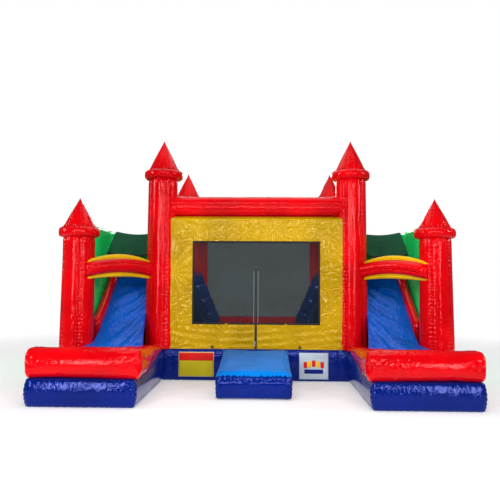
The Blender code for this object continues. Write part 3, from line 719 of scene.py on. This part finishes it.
def wall_relief(x, z):
    """Tension folds of the front panel, outward in metres: fans from its corners, swags and crinkles."""
    half, low, high = WALL_HIGH[0], WALL_LOW[2], WALL_HIGH[2]
    out = np.zeros(np.broadcast(x, z).shape)
    fans = [(-half, high, 1.0, -0.9), (half, high, 0.35, 0.7), (-half, low, 0.9, 1.0), (half, low, 0.6, -1.0),
            (-half, (low + high) * 0.55, 0.7, 0.4)]
    for number, (at_x, at_z, strength, lean) in enumerate(fans):
        dx, dz = x - at_x, z - at_z
        radius = np.sqrt(dx ** 2 + dz ** 2) + 0.02
        angle = np.arctan2(dz, dx)
        rib = np.sin(angle * 15 + lean * 3 + 1.2 * np.sin(radius * 4 + number))
        rib = np.sign(rib) * np.abs(rib) ** 0.7
        out = out + 0.0065 * strength * rib * smoothstep(radius / 0.12) * np.exp(-(radius / 0.62) ** 2)
    under = np.clip((WINDOW_LOW[2] - z) / (WINDOW_LOW[2] - low), 0, 1)
    swag = np.sin(9 * (under + 0.30 * (np.abs(x) / half) ** 2) * 2.4 + 2 * np.sin(x * 1.7))
    out = out + 0.005 * swag * smoothstep(under * 3) * smoothstep((1 - under) * 5)
    broad = 0.0050 * np.abs(waves(x * 10 + 5 * z, z * 9, 5))
    small = 0.0030 * np.abs(waves(x * 26 - 12 * z, z * 22 + 6 * x, 8))
    return (out - broad - small + 0.010) * off_seams(x, z)


def crease_x(z):
    return DOOR_X * (DOOR_TOP - z) / (DOOR_TOP - BASE_HIGH[2])


def off_seams(x, z):
    """0 on the zip and on the lines the flaps fold about, where the cloth lies flat, and 1 away from them."""
    near = np.minimum(np.abs(x) / 0.08, np.abs(np.abs(x) - crease_x(z)) / 0.14)
    return smoothstep(near)


def cloth_grid(name, x, y, z, look, body, replaces):
    """A sheet standing across the front or rear."""
    shell = Shell()
    shell.grid(surface(x, y, z))
    return shell.build(name, look, body, replaces)


def thicken(made, thickness):
    made.modifiers.new("thickness", "SOLIDIFY").thickness = thickness
    freeze(made)


def make_front_wall():
    """The yellow panel in strips round the window, meeting the door flaps on their fold lines."""
    half, low, high = WALL_HIGH[0] + 0.03, WALL_LOW[2] - 0.01, WALL_HIGH[2] + 0.005
    window, sill, lintel = WINDOW_HIGH[0], WINDOW_LOW[2], WINDOW_HIGH[2]
    shell = Shell()
    strips = []
    for side in (-1, 1):
        z = np.linspace(sill, lintel, 110)[:, None]
        strips.append((side * window + side * (half - window) * np.linspace(0, 1, 34)[None, :], z))
        z = np.linspace(low, sill, 44)[:, None]
        strips.append((side * (crease_x(z) + (half - crease_x(z)) * np.linspace(0, 1, 90)[None, :]), z))
    strips.append((np.linspace(-half, half, 260)[None, :], np.linspace(lintel, high, 44)[:, None]))
    for x, z in strips:
        tuck = 0.07 * smoothstep((z - high + 0.045) / 0.045)
        shell.grid(surface(x, FACE - wall_relief(x, z) + tuck, z))
    wall = shell.build("front_wall_vinyl", "yellow_vinyl", replaces=["front_wall"])


def make_window():
    window, sill, lintel = WINDOW_HIGH[0], WINDOW_LOW[2], WINDOW_HIGH[2]
    shell = Shell()
    z = np.linspace(sill, DOOR_TOP, 60)[:, None]
    beside_door = crease_x(z) + (window - crease_x(z)) * np.linspace(0, 1, 50)[None, :]
    over_door = np.linspace(-window, window, 120)[None, :], np.linspace(DOOR_TOP, lintel, 20)[:, None]
    for x, z in ((-beside_door, z), (beside_door, z), over_door):
        shell.grid(surface(x, FACE - net_relief(x, z), z))
    net = shell.build("window_net", netting(), replaces=["window_mesh"])
    make_binding(window, sill, lintel)


def net_relief(x, z):
    return wall_relief(x, z) * 0.25 - 0.001


def make_binding(window, sill, lintel):
    """Black tape sewn over the window's edge, which stops at the door's fold lines."""
    stop = crease_x(sill) + BINDING_STOP
    route = [(stop, sill), (window, sill), (window, lintel)]
    route += [(-x, z) for x, z in reversed(route)]
    strip("window_binding", route, BINDING, black_tape(), ROOT, square_ends=True)


def strip(name, route, width, material, body, thick=0.003, lift=0.002, square_ends=False):
    """A flat sewn tape that follows a route across the front panel, lapped at its corners."""
    shell = Shell()
    section = [(-0.5, 0), (-0.46, thick), (-0.15, thick * 1.25),
               (0.15, thick * 1.25), (0.46, thick), (0.5, 0)]
    for number, (first, last) in enumerate(zip(route, route[1:])):
        first, last = np.array(first), np.array(last)
        length = np.linalg.norm(last - first)
        ahead = (last - first) / length
        across = np.array([-ahead[1], ahead[0]])
        lap = width / 2 / length
        before = 0 if square_ends and number == 0 else lap
        after = 0 if square_ends and number == len(route) - 2 else lap
        share = np.linspace(-before, 1 + after, max(int(length * 60), 3))
        line = first + share[:, None] * (last - first)
        rows = []
        for offset, rise in section:
            x, z = (line + across * offset * width).T
            rows.append(surface(x, FACE - wall_relief(x, z) - lift - rise, z))
        shell.grid(np.stack(rows))
    return shell.build(name, material, body)


def make_door():
    """Two flaps that part at the zip, each yellow vinyl below the sill and net above it."""
    low, sill = WALL_LOW[2] + 0.002, WINDOW_LOW[2]
    zip_end = DOOR_TOP - 0.10
    for side, name in SIDES:
        body = "door_" + name
        z = np.linspace(low, sill, 44)[:, None]
        x = side * (ZIP_GAP + (crease_x(z) - ZIP_GAP) * np.linspace(0, 1, 64)[None, :])
        flap = cloth_grid("door_vinyl_" + name, x, FACE - wall_relief(x, z), z, "yellow_vinyl", body,
                          ["door_flap_" + name])
        z = np.linspace(sill, DOOR_TOP - 0.012, 70)[:, None]
        outer = np.maximum(crease_x(z), 0.004)
        x = side * (ZIP_GAP + (outer - ZIP_GAP) * np.linspace(0, 1, 40)[None, :])
        net = cloth_grid("door_net_" + name, x, FACE - net_relief(x, z), z, netting(), body,
                         ["door_mesh_" + name])
        reach = crease_x(sill) - BINDING_STOP
        strip("door_binding_" + name, [(side * 0.02, sill), (side * reach, sill)], BINDING, black_tape(),
              body, square_ends=True)
        strip("zip_tape_" + name, [(side * 0.011, low + 0.004), (side * 0.011, zip_end)], 0.016,
              black_tape(), body, lift=0.003)
        strip("zip_stitch_" + name, [(side * 0.036, sill + 0.02), (side * 0.036, zip_end - 0.03)], 0.010,
              webbing("grey_thread", (0.300, 0.320, 0.330)), body)
        make_teeth(side, name, low, zip_end, body)
    for side, name in SIDES:
        make_tie(side * TIE_X, name)


def make_teeth(side, name, low, high, body):
    """The zip's moulded teeth, in a row along the flap's edge."""
    shape = bmesh.new()
    pitch = 0.012
    for number in range(int((high - low - 0.03) / pitch)):
        z = low + 0.02 + number * pitch
        y = FACE - float(wall_relief(np.array(side * 0.006), np.array(z))) - 0.009
        tooth = bmesh.ops.create_cube(shape, size=1)["verts"]
        bmesh.ops.scale(shape, vec=(0.005, 0.005, 0.006), verts=tooth)
        bmesh.ops.translate(shape, vec=(side * 0.0055, y, z), verts=tooth)
    mesh = bpy.data.meshes.new("zip_teeth_" + name)
    shape.to_mesh(mesh)
    shape.free()
    moulding = webbing("dark_moulding", (0.02, 0.02, 0.022), 600, 0.45)
    piece("zip_teeth_" + name, mesh, moulding, body)


def make_tie(x, name):
    """Webbing tie that holds an open flap back, lying on the base's edge."""
    shell = Shell()
    share = np.linspace(0, 1, 24)[:, None]
    across = np.linspace(-0.020, 0.020, 5)[None, :]
    z = BASE_HIGH[2] + 0.055 - 0.050 * share
    y = FACE - 0.007 - 0.003 * np.sin(share * 5) * share
    shell.grid(surface(x + across + 0.006 * share, y, z))
    thicken(shell.build("door_tie_" + name, black_tape()), 0.006)


def make_rear_wall():
    low, high = corner("rear_wall")
    open_low, open_high = corner("rear_window_mesh")
    half, window = high[0] + 0.03, open_high[0]
    bottom, top = low[2] - 0.01, high[2] + 0.03
    y = high[1]
    shell = Shell()
    for x0, x1, z0, z1, columns, rows in (
            (-half, -window, bottom, top, 14, 120), (window, half, bottom, top, 14, 120),
            (-window, window, bottom, open_low[2], 120, 18), (-window, window, open_high[2], top, 120, 12)):
        z = np.linspace(z0, z1, rows)[:, None]
        x = np.linspace(x0, x1, columns)[None, :]
        folds = 0.006 * waves(x * 6 + 3 * z, z * 5, 3) + 0.003 * waves(x * 17, z * 15 + 9 * x, 4)
        shell.grid(surface(x, y - 0.01 + folds, z))
    wall = shell.build("rear_wall_vinyl", "red_vinyl", replaces=["rear_wall"])
    z = np.linspace(open_low[2] - 0.005, open_high[2] + 0.005, 60)[:, None]
    x = np.linspace(-window, window, 80)[None, :]
    net = cloth_grid("rear_net", x, y - 0.008 - 0.004 * waves(x * 3, z * 3, 9), z,
                     netting("rear_netting", 0.74, 0.94), ROOT, ["rear_window_mesh"])


def make_roof():
    low, high = corner("roof_cover")
    across = np.linspace(low[0] - 0.05, high[0] + 0.05, 120)[None, :]
    deep = np.linspace(low[1] - 0.05, high[1] + 0.05, 120)[:, None]
    u = (across - low[0]) / (high[0] - low[0]) * 2 - 1
    v = (deep - low[1]) / (high[1] - low[1]) * 2 - 1
    sag = -0.10 * np.clip(1 - u ** 2, 0, 1) * np.clip(1 - v ** 2, 0, 1)
    folds = 0.006 * waves(across * 4 + deep * 2, deep * 4, 12) + 0.0025 * waves(across * 14, deep * 12, 13)
    seam = np.exp(-(across / 0.006) ** 2)
    shell = Shell()
    shell.grid(surface(across, deep, (low[2] + high[2]) / 2 + sag + folds - 0.006 * seam), seam)
    roof = shell.build("roof_vinyl", "yellow_vinyl", replaces=["roof_cover"])


def make_side_walls():
    for side, name in SIDES:
        mesh = inflate(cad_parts["side_wall_" + name].data.copy(), 0.035, 3, 1.0, 0.01, 8)
        low, high = corner("side_wall_" + name)
        lines = []
        for share in (0.25, 0.5, 0.75):
            y = low[1] + share * (high[1] - low[1])
            for x in (high[0], low[0])[::side]:
                lines.append(((x, y, low[2]), (x, y, high[2])))
        sew(mesh, lines)
        piece("side_wall_skin_" + name, mesh, "yellow_vinyl", replaces=["side_wall_" + name])


def make_ramps():
    for side, name in SIDES:
        low, high = corner("climb_ramp_" + name)
        foot, back = (low[0], high[0])[::side]
        head = side * CLIMB_HEAD_X
        outline = [(foot, low[2]), (back, low[2]), (back, high[2]), (head, high[2])]
        mesh = inflate(block_mesh(outline, "Y", low[1], high[1]), 0.03, 6, 2.0, 0.015, 10)
        lines = []
        for share in (0.2, 0.4, 0.6, 0.8):
            x = foot + share * (head - foot)
            z = low[2] + share * (high[2] - low[2])
            lines.append(((x, low[1], z), (x, high[1], z)))
        sew(mesh, lines, height=0.008, groove=0.03, width=0.09)
        piece("climb_ramp_skin_" + name, mesh, "base_blue", replaces=["climb_ramp_" + name])


def make_step():
    low, high = corner("entrance_step")
    front, rear = low[1], high[1]
    outline = [(rear, 0.012), (rear, high[2]), (front + 0.13, 0.372), (front + 0.04, 0.325),
               (front, 0.23), (front, 0.012)]
    mesh = inflate(block_mesh(outline, "X", low[0] + 0.008, high[0] - 0.008), 0.018, 5, 5.0, 0.035)
    lines = []
    for side in (-1, 1):
        x = side * (high[0] - 0.006)
        lines += [((x, front + 0.02, 0.02), (x, front + 0.02, 0.34)),
                  ((x, front + 0.06, 0.355), (x, rear, high[2]))]
    lines.append(((low[0], front + 0.05, 0.35), (high[0], front + 0.05, 0.35)))
    sew(mesh, lines, height=0.007, groove=0.012, pitch=0.075)
    points = read_points(mesh)
    rear_share = np.clip((points[:, 1] - front) / (rear - front), 0, 1)
    on_top = smoothstep((points[:, 2] - (0.30 + 0.2 * rear_share)) / 0.06)
    cross = np.sin(points[:, 1] * 34 + 0.6 * np.sin(points[:, 0] * 5))
    points[:, 2] += 0.0016 * cross * on_top
    points[:, 2] = np.maximum(points[:, 2], 0.0)
    write_points(mesh, points)
    step = piece("step_skin", mesh, "step_blue", replaces=["entrance_step"])
    mesh.materials.append(vinyl("base_blue"))
    for face in mesh.polygons:
        edge = high[2] + (0.362 - high[2]) * (rear - face.center.y) / (rear - front - 0.13)
        if face.center.z < edge - 0.030 or face.center.y < front + 0.085:
            face.material_index = 1


def make_signs():
    """Plain two-colour notice, and a pale label with five plain flags and a band, on the base's front."""
    low, high = corner("notice_panel")
    y = low[1]
    flat_panel("notice_cream", low[0], high[0], low[2], high[2], y - 0.004, "sign_cream",
               ["notice_panel"])
    rim, header = 0.012, 0.150
    flat_panel("notice_header", low[0] + rim, high[0] - rim, high[2] - header, high[2] - rim, y - 0.009,
               "sign_red")
    flat_panel("notice_field", low[0] + rim, high[0] - rim, low[2] + rim, high[2] - header, y - 0.009,
               "sign_olive")
    low, high = corner("label_panel")
    flat_panel("label_field", low[0], high[0], low[2], high[2], y - 0.004, "label_pale",
               ["label_panel"])
    across, tall = high[0] - low[0], high[2] - low[2]
    for number in range(5):
        share = (number + 0.5) / 5
        x = low[0] + across * (0.14 + 0.72 * share)
        z = low[2] + tall * (0.60 - 0.14 * abs(share - 0.5))
        flat_panel("label_flag_%d" % number, x - 0.030, x + 0.030, z - 0.055, z + 0.055, y - 0.009,
                   ("sign_red", "arch_yellow")[number % 2])
    flat_panel("label_band", low[0] + across * 0.18, high[0] - across * 0.18, low[2] + tall * 0.22,
               low[2] + tall * 0.38, y - 0.009, "base_blue")


def base_bulge(z):
    share = np.clip(z / BASE_HIGH[2], 0.001, 0.999)
    return -0.042 + 0.050 * np.sin(math.pi * share) ** 0.55


def flat_panel(name, x0, x1, z0, z1, y, look, replaces=()):
    """A thin sewn panel that follows the base's bulging front."""
    z = np.linspace(z0, z1, 24)[:, None]
    x = np.linspace(x0, x1, 30)[None, :]
    edge = np.minimum(np.minimum(x - x0, x1 - x), np.minimum(z - z0, z1 - z))
    shell = Shell()
    lift = 0.003 * smoothstep(edge / 0.012) + 0.0012 * waves(x * 22, z * 25, 3)
    shell.grid(surface(x, y - base_bulge(z) * 0.55 - lift, z))
    thicken(shell.build(name, look, replaces=replaces), 0.004)


def make_sleeve():
    """Gathered fabric blower sleeve with its strap."""
    low, high = corner("blower_sleeve")
    centre = (low + high) / 2
    radius = (high[0] - low[0]) / 2 + 0.001
    share = np.linspace(0, 1, 50)[:, None]
    turn = np.linspace(0, TAU, 90, endpoint=False)[None, :]
    strap_low, strap_high = corner("sleeve_strap")
    strap_at = (strap_low[1] + strap_high[1]) / 2
    y = low[1] - 0.02 + share * (high[1] - low[1] + 0.02)
    from_strap = np.abs(y - strap_at)
    folds = 0.006 * np.sin(turn * 17 + 2 * np.sin(turn * 3))
    folds = folds * (0.3 + np.exp(-((from_strap - 0.05) / 0.05) ** 2))
    out = radius - 0.006 + folds * smoothstep(from_strap / 0.03)
    shell = Shell()
    shell.grid(surface(centre[0] + out * np.cos(turn), y, centre[2] + out * np.sin(turn)),
               np.exp(-((high[1] - y - 0.012) / 0.004) ** 2), wrap=True)
    sleeve = shell.build("sleeve_fabric", "base_blue", replaces=["blower_sleeve"])
    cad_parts["sleeve_strap"].data.materials[0] = black_tape()


# ---------------------------------------------------------------- the slides
def lane_height(y):
    return np.interp(np.asarray(y) - Y_TOWER, [a for a, _ in LANE_TOP], [b for _, b in LANE_TOP])


def smooth_lane(y):
    """The lane's height with its bends rounded."""
    return sum(lane_height(np.asarray(y) + shift) for shift in np.linspace(-0.14, 0.14, 9)) / 9


def slide_base_top(x, y):
    start, end = Y_TOWER - 1.90, BASE_LOW[1]
    return 0.39 + 0.18 * float(smoothstep((y - start) / (end - start)))


def make_slide_bases():
    for side, name in SIDES:
        inner, outer = side * SLIDE_LOW[0], side * SLIDE_HIGH[0]
        room = side * (BASE_HIGH[0] + 0.01)
        front, rear, notch = SLIDE_LOW[1], SLIDE_HIGH[1], BASE_LOW[1] - 0.01
        corners = [(inner, front), (outer, front), (outer, rear), (room, rear), (room, notch), (inner, notch)]
        if side < 0:
            corners = corners[::-1]
        chamber("slide_base_skin_" + name, corners, slide_base_top, "base_blue",
                ["slide_base_" + name], radius=0.07, bulge=0.055, inset=0.040,
                verticals=[(inner, front), (outer, front)])


def make_bumpers():
    for side, name in SIDES:
        low, high = corner("bumper_" + name)
        mesh = inflate(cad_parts["bumper_" + name].data.copy(), 0.022, 6, 4.0, 0.030)
        front = low[1]
        ends = (side * SLIDE_LOW[0], side * SLIDE_HIGH[0])
        lines = []
        for x in ends:
            inward = side * 0.16 if x == ends[0] else -side * 0.12
            lines.append(((x + inward, front, low[2]), (x + inward, front, high[2] - 0.1)))
            lines.append(((x + inward, front + 0.02, high[2] - 0.02), (x + inward, front + 0.3, high[2])))
        lines.append(((ends[0], front, low[2] + 0.005), (ends[1], front, low[2] + 0.005)))
        sew(mesh, lines, height=0.006, groove=0.008)
        piece("bumper_skin_" + name, mesh, "red_vinyl", replaces=["bumper_" + name])


def make_lanes():
    for side, name in SIDES:
        low, high = corner("slide_lane_" + name)
        y = np.linspace(low[1] - 0.05, high[1] + 0.02, 330)[:, None]
        share = np.linspace(0, 1, 60)[None, :]
        inner = np.interp(y, [Y_TOWER - 1.6, Y_TOWER - 1.1, Y_TOWER - 0.27],
                          [1.81, 1.83, BASE_HIGH[0] - 0.004])
        spread = 1 - smoothstep((y - (SMALL_Y - 0.30)) / 0.26)
        outer = (corner("rail_right")[0][0] + 0.01) * (1 - spread) + (SLIDE_HIGH[0] - 0.22) * spread
        x = inner + (outer - inner) * share
        crown = 0.022 * (1 - (2 * share - 1) ** 4) - 0.022
        edge = np.minimum(share, 1 - share) * (outer - inner)
        diagonal = (x - inner) * 0.75 + (y - Y_TOWER) * 0.62
        ridge = np.sin(diagonal * 27 + 1.7 * np.sin((y - Y_TOWER) * 3.1) + 1.1 * np.sin(x * 9))
        ridge = np.sign(ridge) * np.abs(ridge) ** 0.6
        on_slope = smoothstep((y - Y_TOWER + 1.5) / 0.5)
        folds = 0.006 * ridge * smoothstep(edge / 0.05) * (0.35 + 0.65 * smoothstep((1 - share) * 2))
        cross = 0.008 * np.sin((y - Y_TOWER) * 24 + 2 * np.sin(x * 4))
        cross = cross * (1 - on_slope) * smoothstep(edge / 0.04)
        from_middle = np.abs(share - 0.5) * (outer - inner)
        puckers, _ = pucker(from_middle, y, pitch=0.09, width=0.06, height=0.003, groove=0.0)
        height = smooth_lane(y) + crown + folds * on_slope + cross + puckers * on_slope * 0.5
        height = height + 0.003 * waves(x * 9, y * 8, 21)
        points = surface(side * x, y, height)
        shell = Shell()
        shell.grid(points, flip=side < 0)
        for column in (0, -1):
            top = points[:, column]
            skirt = [top]
            for drop in (0.03, 0.10, 0.22):
                lower = top.copy()
                lower[:, 2] = np.maximum(top[:, 2] - drop, slide_base_top(0, 9))
                skirt.append(lower)
            shell.grid(np.stack(skirt))
        lane = shell.build("slide_lane_skin_" + name, "lane_blue", replaces=["slide_lane_" + name],
                           weld=0.0004)


def make_rails():
    for _, name in SIDES:
        low, high = corner("rail_" + name)
        wall_run("rail_skin_" + name, (low[1], high[1] + 0.02), lambda y: slide_base_top(0, y) - 0.01,
                 lambda y: float(smooth_lane(y)) + 0.13, low[0] + 0.004, high[0] - 0.004, "red_vinyl",
                 ["rail_" + name], crown=0.08, pitch=0.9, swell=0.012)


def make_slide_walls():
    for _, name in SIDES:
        low, high = corner("slide_outer_wall_" + name)
        wall_run("outer_wall_skin_" + name, (low[1], high[1]), lambda y: slide_base_top(0, y) - 0.01,
                 lambda y: high[2] + 0.02, low[0] + 0.012, high[0] - 0.012, "light_green",
                 ["slide_outer_wall_" + name], crown=0.07, pitch=1.25, swell=0.030, body_rows=70)
        low, high = corner("slide_rear_wall_" + name)
        wall_run("rear_wall_skin_" + name, (low[0] - 0.01, high[0] + 0.03), lambda x: low[2] - 0.01,
                 lambda x: high[2], low[1] + 0.01, high[1] - 0.01, "light_green",
                 ["slide_rear_wall_" + name], crown=0.10, pitch=0.44, swell=0.030, axis="X", body_rows=70)


def make_hoods():
    """Sagging canopy over each slide: steep front, flat top, bound with black tape at its front edge."""
    for side, name in SIDES:
        low, high = corner("hood_" + name)
        route_y = [low[1], Y_TOWER + 1.12, Y_TOWER + 1.26, high[1]]
        route_z = [low[2] + 0.02, high[2] + 0.015, high[2] + 0.045, high[2] + 0.045]
        along = np.concatenate([np.linspace(route_y[0], route_y[1], 40),
                                np.linspace(route_y[1], route_y[3], 90)[1:]])
        y = along[:, None]
        z = np.interp(along, route_y, route_z)[:, None]
        share = np.linspace(0, 1, 40)[None, :]
        past_low, past_high = (0.005, 0.02)[::side]
        start, end = low[0] - past_low, high[0] + past_high
        x = start + (end - start) * share
        sag = -0.055 * (1 - (2 * share - 1) ** 2)
        folds = 0.005 * np.sin(share * 22 + y * 3) * np.exp(-((y - low[1]) / 0.3) ** 2)
        folds = folds + 0.004 * waves(x * 8 + y * 3, y * 6, 31)
        seams = np.exp(-(((y - low[1]) % 0.55 - 0.27) / 0.006) ** 2)
        points = surface(x, y, z + sag + folds)
        shell = Shell()
        shell.grid(points, seams, flip=side < 0)
        hood = shell.build("hood_fabric_" + name, "dark_green", replaces=["hood_" + name])
        edge_x, edge_y, edge_z = points[:3].mean(axis=0).T[:, :, None]
        turn = np.linspace(0, TAU, 10, endpoint=False)
        shell = Shell()
        shell.grid(surface(edge_x, edge_y + 0.011 * np.cos(turn), edge_z + 0.017 * np.sin(turn)), wrap=True)
        shell.build("hood_hem_" + name, black_tape())


def make_arches():
    """Red roll from each main tower to the front of the small one, between two yellow crescents."""
    for side, name in SIDES:
        start = np.array([side * TOWER_X, Y_TOWER, 0.0])
        end = np.array([side * (SMALL_X - 0.06), SMALL_Y - 0.33, 0.0])
        ahead = (end - start) / np.linalg.norm(end - start)
        first = start + ahead * 0.20 + np.array([0, 0, ARCH_FOOT])
        last = end - ahead * 0.17 + np.array([0, 0, ARCH_FOOT - 0.012])
        gore_tube("arch_skin_" + name, first, last, 0.125, "red_vinyl", ["arch_" + name], gores=4,
                  turn=math.radians(20), rise=0.085, bulge=0.006, end_pull=0.020, step=0.015, around=72)
        behind = np.array([-ahead[1], ahead[0], 0.0]) * side
        for up, label, lift in ((0.128, "upper", 0.092), (-0.132, "lower", 0.076)):
            offset = behind * 0.040 + np.array([0, 0, up])
            pieces = ["arch_backing_" + name] if label == "upper" else ()
            gore_tube("arch_strip_%s_%s" % (label, name), first + offset, last + offset, 0.060,
                      "arch_yellow", pieces, gores=2, rise=lift, bulge=0.002, end_pull=0.0,
                      taper=lambda share: 0.30 + 0.70 * np.sin(math.pi * share) ** 0.7, step=0.015, around=48)


def finish_fittings():
    steel = plated_steel()
    for name in ("zip_slider", "zip_pull_tab", "anchor_ring_left", "anchor_ring_right"):
        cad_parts[name].data.materials[0] = steel
    for _, name in SIDES:
        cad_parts["anchor_tab_" + name].data.materials[0] = black_tape()


make_camera()
make_studio()
make_towers()
make_beams()
make_base()
make_front_wall()
make_window()
make_door()
make_rear_wall()
make_roof()
make_side_walls()
make_ramps()
make_step()
make_signs()
make_sleeve()
make_slide_bases()
make_bumpers()
make_lanes()
make_rails()
make_slide_walls()
make_hoods()
make_arches()
finish_fittings()
